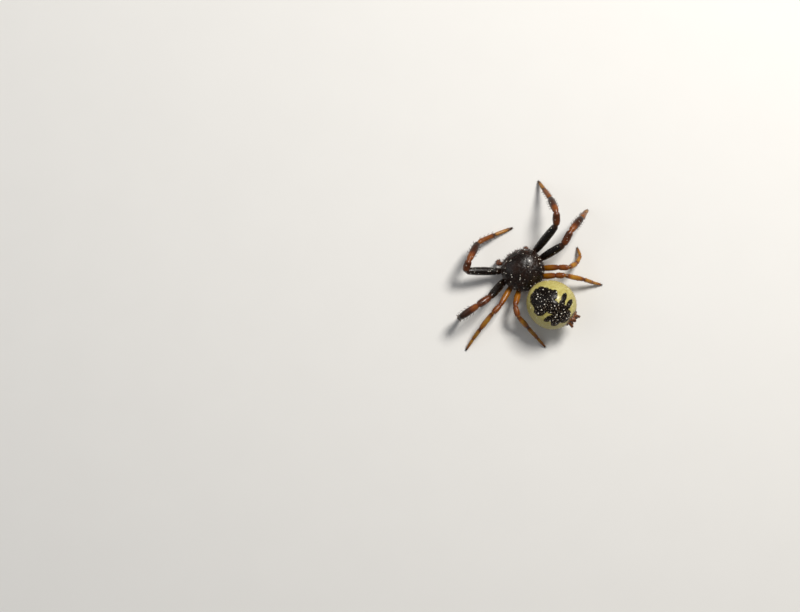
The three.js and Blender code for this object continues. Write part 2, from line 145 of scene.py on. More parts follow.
def smooth_along(profile, places):
    """The smooth value of a profile at places from 0 to 1."""
    at, shares = zip(*profile)
    places = np.asarray(places, dtype=float)
    index = np.clip(np.searchsorted(at, places, side="right") - 1, 0, len(at) - 2)
    low, high = np.take(at, index), np.take(at, index + 1)
    t = np.clip((places - low) / (high - low), 0, 1)
    t = t * t * (3 - 2 * t)
    return np.take(shares, index) * (1 - t) + np.take(shares, index + 1) * t


def carapace_points(unit):
    """Points of the carapace for directions on a unit sphere."""
    a, b, c = unit.T
    level = np.maximum(np.hypot(a, b), 1e-9)
    corner = (np.abs(a) ** HEAD["square"] + np.abs(b) ** HEAD["square"] + 1e-12) ** (-1 / HEAD["square"])
    blend = np.clip(-HEAD["blend"] * b / level, 0, 1)
    wide = 1 + (corner * level - 1) * blend
    long = np.where(b < 0, HEAD["short"], 1.0)
    up = np.abs(c) ** CARAPACE["full"]
    z = np.where(c > 0, up * CARAPACE["dome"], -up * CARAPACE["under"])
    x = a * wide * CARAPACE["half_width"]
    y = b * wide * long * CARAPACE["half_length"]
    return np.c_[x, y, CARAPACE["rim"] + z]


def head_direction(bearing, out, sign=1):
    """A direction on the unit sphere: its bearing off the head's middle, and how far it is to the rim."""
    turn = math.radians(bearing)
    return np.array([[sign * out * math.sin(turn), -out * math.cos(turn), math.sqrt(1 - out * out)]])


def on_carapace(bearing, out, sign=1):
    return carapace_points(head_direction(bearing, out, sign))[0]


def on_side(sign, points):
    """Points given for the left side, or their mirror image."""
    return np.array(points) * (sign, 1, 1)


def turned(points, degrees, axis):
    """Points turned about an axis through the origin: 0 is X and 2 is Z."""
    t = math.radians(degrees)
    c, s = math.cos(t), math.sin(t)
    first, second = [i for i in range(3) if i != axis]
    made = points.copy()
    made[:, first] = c * points[:, first] - s * points[:, second]
    made[:, second] = s * points[:, first] + c * points[:, second]
    return made


def swung(ways):
    """Ways in the abdomen's own frame, with its rear at +Y, turned to the animal's."""
    return turned(turned(ways, ABDOMEN["lift"], 0), ABDOMEN["swing"], 2)


def from_abdomen(points):
    return swung(points) + np.array(ABDOMEN["centre"])


# How far from a joint its corner is rounded, and how many points a corner and a segment have
BEND = 0.3
CORNER_STEPS = 8
SEGMENT_STEPS = 16


def curve(start, bend, end, t):
    """Where a curve from start to end, drawn towards the bend, is at t from 0 to 1."""
    return start * (1 - t) ** 2 + bend * 2 * t * (1 - t) + end * t * t


def bent_path(joints):
    """Points along a jointed limb whose corners are rounded, with each one's place: 1.5 is half way along
    the second segment."""
    joints = [Vector(joint) for joint in joints]
    last = len(joints) - 1

    def corner(i, start, end):
        reach = BEND * min((joints[i] - joints[i - 1]).length, (joints[i] - joints[i + 1]).length)
        before, after = [joints[i] + (joints[j] - joints[i]).normalized() * reach for j in (i - 1, i + 1)]
        return [curve(before, joints[i], after, t) for t in np.linspace(start, end, CORNER_STEPS)]

    points, places = [], []
    for i in range(last):
        run = corner(i, 0.5, 1) if i > 0 else [joints[0]]
        run += corner(i + 1, 0, 0.5) if i + 1 < last else [joints[last]]
        run = np.array([tuple(point) for point in run])
        lengths = np.concatenate([[0], np.cumsum(np.linalg.norm(np.diff(run, axis=0), axis=1))])
        for share in np.linspace(0, 1, SEGMENT_STEPS + 1)[: None if i + 1 == last else -1]:
            points.append([np.interp(share * lengths[-1], lengths, run[:, k]) for k in range(3)])
            places.append(i + share)
    return np.array(points), np.array(places)


# Making and finishing pieces

TUBE_RESOLUTION = 7
CAP = {"steps": 5, "flat": 0.55, "least": 0.04}
SMOOTH_BELOW = math.radians(60)


def deselect():
    bpy.ops.object.select_all(action="DESELECT")


def taken(name):
    """The object that an operator has just added, named."""
    made = bpy.context.object
    made.name = made.data.name = name
    return made


def added(name, data):
    """A new object in the scene that holds the data."""
    made = bpy.data.objects.new(name, data)
    bpy.context.scene.collection.objects.link(made)
    return made


def coordinates(piece):
    flat = np.empty(len(piece.data.vertices) * 3)
    piece.data.vertices.foreach_get("co", flat)
    return flat.reshape(-1, 3)


def place_vertices(piece, points):
    piece.data.vertices.foreach_set("co", np.asarray(points, dtype=float).ravel())
    piece.data.update()


def reshape(piece, change):
    place_vertices(piece, change(coordinates(piece)))


def mark(piece, name, values):
    """Keeps a number on each vertex, for the piece's material to read."""
    layer = piece.data.attributes.new(name, "FLOAT", "POINT")
    layer.data.foreach_set("value", np.asarray(values, dtype=np.float32))


def only(piece):
    deselect()
    piece.select_set(True)
    bpy.context.view_layer.objects.active = piece


def tidy_mesh(piece, merge=1e-4):
    """Merges doubles and turns every face outwards."""
    only(piece)
    bpy.ops.object.mode_set(mode="EDIT")
    bpy.ops.mesh.select_all(action="SELECT")
    bpy.ops.mesh.remove_doubles(threshold=merge)
    bpy.ops.mesh.normals_make_consistent(inside=False)
    bpy.ops.object.mode_set(mode="OBJECT")


def ball(name, centre, half, segments=32, rings=20):
    deselect()
    bpy.ops.mesh.primitive_uv_sphere_add(segments=segments, ring_count=rings, radius=1, location=(0, 0, 0))
    piece = taken(name)
    reshape(piece, lambda points: points * np.array(half) + np.array(centre))
    return piece


def tube(name, points, radii):
    """A round tube through points, each with its own radius, closed at both ends."""
    deselect()
    bpy.ops.curve.primitive_nurbs_path_add(location=(0, 0, 0))
    path = taken(name).data
    path.splines.clear()
    spline = path.splines.new("POLY")
    spline.points.add(len(points) - 1)
    spline.points.foreach_set("co", np.c_[points, np.ones(len(points))].ravel())
    spline.points.foreach_set("radius", np.asarray(radii, dtype=float))
    path.dimensions = "3D"
    path.twist_mode = "MINIMUM"
    path.bevel_depth = 1
    path.bevel_resolution = TUBE_RESOLUTION
    path.use_fill_caps = True
    bpy.ops.object.convert(target="MESH")
    piece = taken(name)
    tidy_mesh(piece)
    return piece


def rounded_ends(points, radii):
    """Adds a round cap beyond each end of a path."""
    turns = np.linspace(0, math.pi / 2, CAP["steps"] + 1)[1:]
    shares = np.maximum(np.cos(turns), CAP["least"])

    def cap(end, inner, radius):
        way = end - inner
        way /= np.linalg.norm(way)
        return [end + way * radius * CAP["flat"] * math.sin(turn) for turn in turns], list(radius * shares)

    head_points, head_radii = cap(points[0], points[1], radii[0])
    tail_points, tail_radii = cap(points[-1], points[-2], radii[-1])
    return (np.array(head_points[::-1] + list(points) + tail_points),
            np.array(head_radii[::-1] + list(radii) + tail_radii))


def joined(name, parts):
    deselect()
    for part in parts:
        part.select_set(True)
    bpy.context.view_layer.objects.active = parts[0]
    bpy.ops.object.join()
    return taken(name)


# The solids' own origin is under the middle of the whole animal: the front eyes tell how far off that is
front_eyes = np.array([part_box(f"{side}_eye_front_median") for side in SIDES]).mean(axis=(0, 1)) / MM
ORIGIN = np.array([front_eyes[0], front_eyes[1] - on_carapace(*EYES["front_median"][:2])[1], 0.0])


def finish(piece, material, nodes=()):
    """Puts a piece in its place in metres, gives it its finish, and ties it to the body."""
    only(piece)
    bpy.ops.object.shade_smooth_by_angle(angle=SMOOTH_BELOW)
    reshape(piece, lambda points: (points + ORIGIN) * MM)
    piece.data.materials.clear()
    piece.data.materials.append(material)
    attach(piece, "root")
    if nodes:
        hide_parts(*nodes)
    return piece


# Shader maths

def sum_with(operation, swapped=False):
    """A method of Value that makes a sum with one other value."""
    def method(self, other):
        pair = (other, self) if swapped else (self, other)
        return self.sum(operation, *pair)
    return method


class Value:
    """A node socket that takes part in sums."""

    __add__ = __radd__ = sum_with("ADD")
    __sub__ = sum_with("SUBTRACT")
    __rsub__ = sum_with("SUBTRACT", swapped=True)
    __mul__ = __rmul__ = sum_with("MULTIPLY")
    __truediv__ = sum_with("DIVIDE")
    least = sum_with("MINIMUM")

    def __init__(self, tree, socket):
        self.tree = tree
        self.socket = socket

    def sum(self, operation, *values):
        return shader_node(self.tree, "ShaderNodeMath", {"operation": operation}, dict(enumerate(values)))

    def root(self):
        return self.sum("SQRT", self)

    def step(self, low, high):
        """0 below low, 1 above high, smooth between."""
        return shader_node(
            self.tree, "ShaderNodeMapRange", {"interpolation_type": "SMOOTHSTEP", "clamp": True},
            {"Value": self, "From Min": low, "From Max": high})


def shader_node(tree, kind, settings=None, values=None, out=0):
    """Adds a node, sets its settings, then its sockets to values or links."""
    made = tree.nodes.new(kind)
    for name, value in (settings or {}).items():
        setattr(made, name, value)
    for name, value in (values or {}).items():
        socket = made.inputs[name]
        if isinstance(value, Value):
            tree.links.new(value.socket, socket)
        else:
            socket.default_value = value
    return Value(tree, made.outputs[out])


class Finish:
    """A material under construction, with its Principled shader and its place in millimetres."""

    def __init__(self, name, **constants):
        self.material = bpy.data.materials.new(name)
        self.material.use_nodes = True
        self.tree = self.material.node_tree
        self.shader = self.tree.nodes["Principled BSDF"]
        for socket, value in constants.items():
            self.shader.inputs[socket.replace("_", " ")].default_value = value
        coordinate = self.tree.nodes.new("ShaderNodeTexCoord")
        self.place = self.node("ShaderNodeVectorMath", {"operation": "SCALE"}, {
            0: Value(self.tree, coordinate.outputs["Object"]), "Scale": 1 / MM})

    def node(self, kind, settings=None, values=None, out=0):
        return shader_node(self.tree, kind, settings, values, out)

    def split(self, vector):
        made = self.tree.nodes.new("ShaderNodeSeparateXYZ")
        self.tree.links.new(vector.socket, made.inputs[0])
        return [Value(self.tree, made.outputs[i]) for i in range(3)]

    def attribute(self, name):
        return self.node("ShaderNodeAttribute", {"attribute_name": name}, out=2)

    def noise(self, scale, detail=3.0, roughness=0.5):
        return self.node("ShaderNodeTexNoise", None, {
            "Vector": self.place, "Scale": scale, "Detail": detail, "Roughness": roughness})

    def cells(self, scale, feature="F1", out=0):
        return self.node("ShaderNodeTexVoronoi", {"feature": feature}, {
            "Vector": self.place, "Scale": scale}, out)

    def ramp(self, factor, stops):
        made = self.tree.nodes.new("ShaderNodeValToRGB")
        elements = made.color_ramp.elements
        elements[0].position, elements[1].position = 0, 1
        elements[0].color = (*stops[0][1], 1)
        elements[1].color = (*stops[-1][1], 1)
        for position, colour in stops[1:-1]:
            elements.new(position).color = (*colour, 1)
        self.tree.links.new(factor.socket, made.inputs["Fac"])
        return Value(self.tree, made.outputs["Color"])

    def mix(self, factor, *colours):
        first, second = [value if isinstance(value, Value) else (*value, 1) for value in colours]
        return self.node("ShaderNodeMix", {"data_type": "RGBA"}, {0: factor, 6: first, 7: second}, out=2)

    def specks(self, scale, size, share):
        """Small round dots: 1 on a dot, 0 elsewhere, with only a share of the places filled."""
        pick = self.node("ShaderNodeSeparateColor", None, {"Color": self.cells(scale, out=1)})
        chosen = pick.sum("LESS_THAN", pick, share)
        return (1 - self.cells(scale).step(size * 0.6, size)) * chosen

    def bump(self, height, strength, distance_mm):
        self.put("Normal", self.node("ShaderNodeBump", None, {
            "Height": height, "Strength": strength, "Distance": distance_mm * MM}))

    def put(self, socket, value):
        self.tree.links.new(value.socket, self.shader.inputs[socket])


def colour_of(red, green, blue):
    """A shader's colour from the 0 to 255 numbers that a screen shows."""
    def straight(value):
        share = value / 255
        return share / 12.92 if share <= 0.04045 else ((share + 0.055) / 1.055) ** 2.4
    return (straight(red), straight(green), straight(blue))


BLACK = colour_of(12, 6, 3)
DARK = colour_of(36, 19, 9)
BROWN = colour_of(66, 32, 12)
RED_BROWN = colour_of(102, 48, 14)
RUST = colour_of(122, 66, 22)
RING = colour_of(124, 66, 22)
OCHRE = colour_of(144, 88, 16)
AMBER = colour_of(130, 72, 14)
PALE_OCHRE = colour_of(164, 116, 32)
TAN = colour_of(160, 108, 40)
CREAM = colour_of(184, 175, 106)
CREAM_EDGE = colour_of(160, 146, 66)
CREAM_LIGHT = colour_of(218, 212, 158)
# SPECK and WHITE colour the white grains and dots, which are painted glints on raised grains; SPECK also tips
# the pale hairs
SPECK = colour_of(236, 228, 208)
WHITE = colour_of(248, 246, 240)


def carapace_material():
    made = Finish("carapace_shell", Specular_IOR_Level=0.2, Coat_Weight=0.3, Coat_Roughness=0.2)
    height = made.split(made.place)[2]
    cloud = made.noise(1.6, 4)
    base = made.mix(cloud.step(0.4, 0.7), BLACK, DARK)
    edge = 1 - height.step(1.0, 1.5)
    base = made.mix(edge * cloud.step(0.3, 0.6) * 0.7, base, RED_BROWN)
    fine = made.noise(9, 4, 0.6)
    base = made.mix(fine.step(0.55, 0.8) * 0.35, base, BROWN)
    made.put("Base Color", base)
    made.put("Roughness", fine * 0.24 + 0.1)
    made.bump(fine * 0.8 + made.cells(7).step(0.0, 0.6) * 0.4, 0.7, 0.04)
    return made.material


def leg_material(name, stops, cloudy, tint):
    made = Finish(name, Specular_IOR_Level=0.25, Coat_Weight=0.2, Coat_Roughness=0.15)
    wobble = (made.noise(3.5, 2) - 0.5) * 0.2
    place = (made.attribute("along") + wobble) / len(SEGMENTS)
    base = made.ramp(place, [(at / len(SEGMENTS), colour) for at, colour in stops])
    cloud = made.noise(5, 4, 0.6)
    base = made.mix(cloud.step(0.45, 0.75) * cloudy, base, DARK)
    fine = made.noise(12, 4, 0.6)
    base = made.mix(fine.step(0.6, 0.8) * 0.2, base, tint)
    made.put("Base Color", base)
    made.put("Roughness", fine * 0.26 + 0.1)
    made.bump(fine + made.cells(9).step(0, 0.6) * 0.4, 0.6, 0.035)
    return made.material


FRONT_STOPS = [
    (0.0, DARK), (0.9, BROWN), (1.05, DARK), (1.2, BLACK), (1.9, BLACK), (2.02, BROWN), (2.3, RED_BROWN),
    (2.8, BROWN), (2.97, RED_BROWN), (3.06, RING), (3.2, RING), (3.3, RED_BROWN), (3.4, BROWN), (3.9, DARK),
    (4.02, AMBER), (4.15, RING), (4.3, RUST), (4.7, RUST), (4.88, BROWN), (4.97, DARK), (5.06, TAN),
    (5.6, TAN), (5.85, BROWN), (6.0, DARK),
]
REAR_STOPS = [
    (0.0, AMBER), (0.9, AMBER), (1.1, OCHRE), (1.6, OCHRE), (1.8, AMBER), (1.95, RED_BROWN), (2.1, RED_BROWN),
    (2.5, RUST), (2.9, RED_BROWN), (3.0, OCHRE), (3.06, BROWN), (3.2, AMBER), (3.35, PALE_OCHRE),
    (3.75, OCHRE), (3.88, RED_BROWN), (4.0, BROWN), (4.1, OCHRE), (4.3, PALE_OCHRE), (4.75, OCHRE),
    (4.93, RED_BROWN), (5.05, OCHRE), (5.15, PALE_OCHRE), (5.7, AMBER), (6.0, DARK),
]


def plain_material(name, first, second, roughness=0.3, scale=6.0):
    made = Finish(name, Specular_IOR_Level=0.45)
    made.put("Base Color", made.mix(made.noise(scale, 4).step(0.35, 0.7), first, second))
    fine = made.noise(scale * 6, 3)
    made.put("Roughness", fine * 0.2 + (roughness - 0.1))
    made.bump(fine, 0.6, 0.02)
    return made.material


def hair_material(name, root, tip):
    made = Finish(name, Specular_IOR_Level=0.4)
    made.put("Base Color", made.mix(made.attribute("along"), root, tip))
    made.put("Roughness", made.noise(12, 2) * 0.1 + 0.35)
    return made.material


# Black lobed patch on the abdomen's back: x to the animal's left, y to the rear, half sizes, forward lean
LOBES = [
    (0.05, -0.8, 0.74, 0.66, 0), (0.32, -0.48, 0.74, 0.5, 0), (-0.24, -0.48, 0.56, 0.46, 0),
    (0.74, -0.34, 0.36, 0.28, 0), (-0.58, -0.26, 0.31, 0.22, -0.3), (0.14, 0.12, 0.46, 0.6, 0),
    (0.74, 0.42, 0.44, 0.22, 0.5), (-0.76, 0.36, 0.36, 0.17, -0.2), (-0.4, 0.44, 0.26, 0.2, 0),
    (0.1, 0.72, 0.56, 0.5, 0), (0.7, 0.78, 0.42, 0.28, 0.1), (-0.6, 0.87, 0.38, 0.17, -0.1),
    (0.16, 1.06, 0.5, 0.34, 0),
]


def abdomen_material():
    made = Finish("abdomen_skin", Specular_IOR_Level=0.18, Coat_Roughness=0.22)
    centre = made.node("ShaderNodeVectorMath", {"operation": "SUBTRACT"}, {
        0: made.place, 1: tuple(np.array(ABDOMEN["centre"]) + ORIGIN)})
    own = made.node("ShaderNodeVectorRotate", {"rotation_type": "Z_AXIS"}, {
        "Vector": centre, "Angle": math.radians(-ABDOMEN["swing"])})
    x, y, z = made.split(own)
    ragged = (made.noise(4.5, 3, 0.6) - 0.5) * 0.5
    nearest = None
    for across, back, half_across, half_back, lean in LOBES:
        u = (x - across) / half_across
        v = (y - back + (x - across) * lean) / half_back
        reach = (u * u + v * v).root()
        nearest = reach if nearest is None else nearest.least(reach)
    patch = (1 - (nearest + ragged).step(0.95, 1.04)) * z.step(-0.2, 0.0)
    belly = 1 - ((x * x / 0.8 + y * y / 1.2).root() + ragged).step(0.9, 1.1)
    belly = belly * (1 - z.step(-0.9, -0.7))
    rear = (1 - ((x * x + z * z).root() + ragged).step(0.6, 0.78)) * y.step(0.9, 1.2)
    side = 1 - z.step(-0.6, 0.7)
    mottle = made.noise(4, 5, 0.65)
    pale = made.mix(mottle.step(0.35, 0.7), CREAM, CREAM_EDGE)
    pale = made.mix(side * 0.6, pale, CREAM_EDGE)
    threads = 1 - made.cells(6, "DISTANCE_TO_EDGE").step(0.0, 0.08)
    pale = made.mix(threads * 0.25, pale, CREAM_LIGHT)
    colour = made.mix(patch, pale, BLACK)
    colour = made.mix(rear * 0.9, colour, BROWN)
    colour = made.mix(belly * 0.8, colour, BROWN)
    # White dots on the black patch, and a few on the cream: painted glints
    dots = made.specks(8, 0.16, 0.22)
    made.put("Base Color", made.mix(dots * (patch * 0.55 + 0.1), colour, SPECK))
    made.put("Roughness", mottle * 0.25 + 0.15)
    made.put("Coat Weight", (1 - patch) * 0.35)
    creases = made.noise(7, 4, 0.6)
    made.bump(creases * 0.8 + patch * 0.2, 0.6, 0.045)
    return made.material


def eye_material():
    made = Finish("eye_bead", Coat_Weight=1.0, Coat_Roughness=0.02, Roughness=0.08)
    made.put("Base Color", made.mix(made.noise(20, 2), colour_of(8, 6, 6), colour_of(30, 16, 10)))
    return made.material


# Hair and grains

PATCH_WIDTH = 0.003


def along_skin(way, outs):
    """A way with what points out of the skin taken off, for each of the outs."""
    return way - outs * (outs @ way)[:, None]


def stacked(rows):
    """Rows of arrays, such as (roots, outs), joined into one array for each column."""
    return [np.concatenate(column) for column in zip(*rows)]


def bristles(name, roots, outs, lies, lengths, radius, patches, sides=3, lean=0.35):
    """Many bent, tapered bristles in one mesh. outs is straight out of the skin, lies the way that the coat
    lies, patches each root's place on the skin's unwrap."""
    count = len(roots)
    lengths = np.broadcast_to(lengths, (count,))[:, None]
    side = normed(np.cross(outs, lies))
    rise = normed(lies * lean + outs)
    over = normed(lies * (lean + 0.65) + outs * 0.5)
    across = np.cross(side, rise)
    sunk = roots - outs * radius * 2
    bend = roots + rise * lengths * 0.5
    rings = []
    for centre, share in ((sunk, 1.0), (bend, 0.65)):
        for k in range(sides):
            turn = 2 * math.pi * k / sides
            rings.append(centre + radius * share * (math.cos(turn) * side + math.sin(turn) * across))
    piece = repeated(name, [*rings, bend + over * lengths * 0.5], sides, patches)
    mark(piece, "along", np.tile([0] * sides + [0.5] * sides + [1], count))
    return piece


def repeated(name, points, sides, patches):
    """A mesh of many like closed shapes: rings of points, one over the other, with one point at the tip. Each
    shape has a small patch of the map at its root's place."""
    own = len(points)
    count = len(patches)
    top = own - 1 - sides
    one = [tuple(reversed(range(sides)))]
    for k in range(sides):
        after = (k + 1) % sides
        one += [(k + low, after + low, after + low + sides, k + low + sides) for low in range(0, top, sides)]
        one.append((k + top, after + top, own - 1))
    mesh = bpy.data.meshes.new(name)
    faces = [tuple(own * i + k for k in face) for i in range(count) for face in one]
    mesh.from_pydata(np.stack(points, axis=1).reshape(-1, 3), [], faces)
    piece = added(name, mesh)
    tidy_mesh(piece, merge=0)
    turns = 2 * np.pi * np.arange(own) / own
    corner = PATCH_WIDTH / 2 * np.c_[1 + np.cos(turns), 1 + np.sin(turns)]
    places = np.repeat(np.clip(patches, 0, 0.99), own, axis=0) + np.tile(corner, (count, 1))
    loops = np.empty(len(mesh.loops), dtype=np.int32)
    mesh.loops.foreach_get("vertex_index", loops)
    chart = mesh.uv_layers.new(name="OFBake")
    chart.data.foreach_set("uv", places[loops].ravel())
    return piece


def grains(name, roots, outs, radii, patches, tall=0.6):
    """Many small round domes in one mesh, each sunk a little into the skin."""
    sides = 7
    side = normed(np.cross(outs, np.broadcast_to([0.3, 0.2, 0.93], outs.shape)))
    across = np.cross(outs, side)
    radii = radii[:, None]
    rings = []
    for level in (-20, 15, 50):
        t = math.radians(level)
        for k in range(sides):
            turn = 2 * math.pi * (k + level / 90) / sides
            rings.append(roots + radii * (
                math.cos(t) * (math.cos(turn) * side + math.sin(turn) * across) + tall * math.sin(t) * outs))
    return repeated(name, [*rings, roots + radii * tall * outs], sides, patches)


def scatter(count, lowest):
    """Evenly spread directions above a level, slightly shaken."""
    k = np.arange(count) + 0.5
    up = 1 - k / count * (1 - lowest)
    turn = k * math.pi * (3 - math.sqrt(5))
    flat = np.sqrt(1 - up * up)
    made = np.c_[flat * np.cos(turn), flat * np.sin(turn), up]
    return normed(made + rng.normal(0, 0.7 / math.sqrt(count), made.shape))


# Limbs

NECK = {"depth": 0.16, "reach": 0.045}


class Limb:
    """A jointed limb: its path, its radius along it, and the directions round it."""

    def __init__(self, joints, radii, profiles):
        self.points, self.places = bent_path(joints)
        self.radii = self.radius_at(self.places, radii, profiles)
        self.ways = normed(np.gradient(self.points, axis=0))
        self.under = normed(along_skin(np.array([0, 0, -1.0]), self.ways))

    @staticmethod
    def radius_at(places, radii, profiles):
        made = np.empty(len(places))
        for i, (radius, profile) in enumerate(zip(radii, profiles)):
            last = i == len(radii) - 1
            here = (places >= i) & ((places < i + 1) | last)
            made[here] = radius * smooth_along(profile, places[here] - i)
        neck = np.zeros(len(places))
        for joint in range(1, len(radii)):
            neck = np.maximum(neck, np.exp(-(((places - joint) / NECK["reach"]) ** 2)))
        return made * (1 - NECK["depth"] * neck)

    def at(self, places):
        def pick(values):
            if values.ndim == 1:
                return np.interp(places, self.places, values)
            return np.stack([np.interp(places, self.places, values[:, k]) for k in range(3)], axis=1)
        way, under = normed(pick(self.ways)), pick(self.under)
        under = normed(under - way * np.sum(under * way, axis=1, keepdims=True))
        return pick(self.points), way, under, pick(self.radii)

    def around(self, places, degrees):
        """Points on the skin, the way out and the way along, at places and angles from the underside."""
        centre, way, under, radius = self.at(places)
        turn = np.radians(degrees)[:, None]
        out = under * np.cos(turn) + np.cross(way, under) * np.sin(turn)
        return centre + out * radius[:, None], out, way

    def chart(self, number, count, places, turns):
        """Places on an unwrap of count limbs side by side, of which this is the given number."""
        return np.c_[(number + places / self.places[-1]) / count, np.broadcast_to(turns, places.shape)]

    def skin(self, name, floor=False):
        points, radii = rounded_ends(self.points, self.radii)
        piece = tube(name, points, radii)
        apart = coordinates(piece)[:, None] - self.points[None]
        mark(piece, "along", self.places[np.argmin(np.linalg.norm(apart, axis=2), axis=1)])
        if floor:
            reshape(piece, lambda points: np.maximum(points, (-np.inf, -np.inf, 0)))
        return piece


def leg_kind(name):
    return "front" if name in GRIPPING else "rear"


legs = {
    name: Limb(joints, RADII[leg_kind(name)], [PROFILES[segment] for segment in SEGMENTS])
    for name, joints in LEGS.items()
}
palps = {side: Limb(on_side(sign, PALPS[side]), PALP_RADII, PALP_PROFILES) for side, sign in SIDES.items()}
jaws = {side: Limb(on_side(sign, JAW), JAW_RADII, JAW_PROFILES) for side, sign in SIDES.items()}

materials = {
    "carapace": carapace_material(),
    "front": leg_material("front_leg_shell", FRONT_STOPS, 0.3, BROWN),
    "rear": leg_material("rear_leg_shell", REAR_STOPS, 0.12, PALE_OCHRE),
    "abdomen": abdomen_material(),
    "under": plain_material("underside_plates", DARK, BROWN),
    "jaw": plain_material("jaw_shell", DARK, RED_BROWN, 0.28),
    "fang": plain_material("fang_horn", BLACK, DARK, 0.2),
    "feeler": plain_material("feeler_shell", RED_BROWN, RING, 0.25),
    "spinneret": plain_material("spinneret_skin", BROWN, RUST, 0.22),
    "socket": plain_material("eye_socket", DARK, RED_BROWN, 0.35, 12),
    "eye": eye_material(),
    "dark_grain": plain_material("dark_grain", BLACK, DARK, 0.22, 9),
    # Raised grains coloured white: the white is a painted glint
    "glint_white_grain": plain_material("glint_white_grain", SPECK, WHITE, 0.25, 9),
    "spine": hair_material("dark_spine", BLACK, BROWN),
    "dark_hair": hair_material("dark_hair", DARK, BROWN),
    "gold_hair": hair_material("golden_hair", AMBER, PALE_OCHRE),
    "pale_hair": hair_material("pale_hair", TAN, SPECK),
}


def make_legs():
    for name, leg in legs.items():
        kind = leg_kind(name)
        nodes = [f"leg_{name}_{part}" for part in (*SEGMENTS[:4], "foot")]
        skin = leg.skin(f"{name}_leg", floor=True)
        if name == "left_2":
            darken_bend(skin)
        finish(skin, materials[kind], nodes)


DARK_BEND = (3.85, 4.35)


def darken_bend(skin):
    """The left second leg is dark over the bend where its foot turns down under it."""
    low, high = DARK_BEND
    values = np.empty(len(skin.data.vertices), dtype=np.float32)
    layer = skin.data.attributes["along"].data
    layer.foreach_get("value", values)
    layer.foreach_set("value", np.where((values > low) & (values < high), low, values))


def foot_places(leg, shares):
    """Places on a limb for shares of the way along its last two segments together."""
    upper = np.linalg.norm(np.diff(leg.points[leg.places >= 4], axis=0), axis=1)
    length = np.concatenate([[0], np.cumsum(upper)])
    return np.interp(np.asarray(shares) * length[-1], length, leg.places[leg.places >= 4])


def make_spines():
    rows = []
    for number, name in enumerate(GRIPPING):
        leg = legs[name]
        for segment, shares, angles, length in SPINES:
            if segment == "foot":
                places = foot_places(leg, shares)
            else:
                places = np.array(shares) + SEGMENTS.index(segment)
            for angle in angles:
                root, out, way = leg.around(places, np.full(len(places), angle))
                chart = leg.chart(number, len(GRIPPING), places, 0.5 + angle / 720)
                rows.append((root, out, way, np.full(len(places), length), chart))
    roots, outs, lies, lengths, patches = stacked(rows)
    piece = bristles("leg_spines", roots, outs, lies, lengths, SPINE_RADIUS, patches, sides=6, lean=1.1)
    finish(piece, materials["spine"])


def make_claws():
    """Two curved claws at the tip of each foot."""
    roots, outs, lies, patches = [], [], [], []
    for number, leg in enumerate(legs.values()):
        way = leg.ways[-1] * np.array([1, 1, 0])
        way /= np.linalg.norm(way)
        side = np.array([-way[1], way[0], 0])
        for sign in SIDES.values():
            step = way * CLAW["ahead"] + side * sign * CLAW["apart"] + np.array([0, 0, CLAW["up"]])
            roots.append(leg.points[-1] + step)
            outs.append(way + side * sign * CLAW["open"])
            lies.append(np.array([0, 0, -1.0]) + way * 0.4)
            patches.append((number / len(legs) + 0.02, 0.1 + sign * 0.05))
    roots, outs, lies, patches = map(np.array, (roots, outs, lies, patches))
    piece = bristles("foot_claws", roots, normed(outs), normed(lies), CLAW["length"], CLAW["radius"], patches,
                     sides=6, lean=0.1)
    reshape(piece, lambda points: np.maximum(points, (-np.inf, -np.inf, CLAW["low"])))
    finish(piece, materials["fang"])


# Coats of hair: kind of leg, hairs on each, length, radius, material, slot, where on the leg they start
COATS = {
    "front_leg_hair": ("front", 620, 0.07, 0.0055, "dark_hair", "front_legs", 0.4),
    "front_foot_hair": ("front", 420, 0.07, 0.0055, "gold_hair", "front_feet", 4.0),
    "rear_leg_hair": ("rear", 520, 0.065, 0.0055, "gold_hair", "rear_legs", 0.4),
    "rear_leg_dark_hair": ("rear", 160, 0.08, 0.006, "dark_hair", "rear_legs", 0.4),
}
COAT_END = 5.9


def leg_coat(name, kind, count, length, radius, material, slot, start):
    rows = []
    chosen = [leg for leg_name, leg in legs.items() if leg_kind(leg_name) == kind]
    for number, leg in enumerate(chosen):
        places = rng.uniform(start, COAT_END, count)
        degrees = rng.uniform(-180, 180, count)
        root, out, way = leg.around(places, degrees)
        clear = root[:, 2] > length
        out = out[clear] + rng.normal(0, 0.15, (clear.sum(), 3))
        chart = leg.chart(number, len(chosen), places, 0.5 + degrees / 360)
        rows.append((root[clear], out, way[clear], chart[clear]))
    roots, outs, lies, patches = stacked(rows)
    lengths = length * rng.uniform(0.7, 1.2, len(roots))
    piece = bristles(name, roots, normed(outs), lies, lengths, radius, patches, lean=0.8)
    finish(piece, materials[material])


# How many pale grains each gripping leg has on its thigh and on its knee and shin, and where these are. The
# grains are raised bumps whose white is a painted glint
LEG_GRAINS = {"right_1": (9, 5), "right_2": (5, 6), "left_1": (34, 5), "left_2": (7, 4)}
THIGH = (1.15, 1.9)
KNEE_AND_SHIN = (2.1, 3.9)


def make_leg_grains():
    rows = []
    for number, (name, (thigh, shin)) in enumerate(LEG_GRAINS.items()):
        leg = legs[name]
        places = np.concatenate([rng.uniform(*THIGH, thigh), rng.uniform(*KNEE_AND_SHIN, shin)])
        degrees = rng.uniform(70, 290, len(places))
        root, out, _ = leg.around(places, degrees)
        rows.append((root, out, leg.chart(number, len(LEG_GRAINS), places, degrees / 360)))
    roots, outs, patches = stacked(rows)
    radii = rng.uniform(0.014, 0.03, len(roots))
    finish(grains("leg_grains", roots, outs, radii, patches), materials["glint_white_grain"])


# Carapace

def carapace_out(unit):
    """The way straight out of the carapace for directions on a unit sphere."""
    place = carapace_points(unit) - np.array([0, 0, CARAPACE["rim"]])
    half = np.array([CARAPACE["half_width"], CARAPACE["half_length"], CARAPACE["dome"]])
    return normed(place / half ** 2)


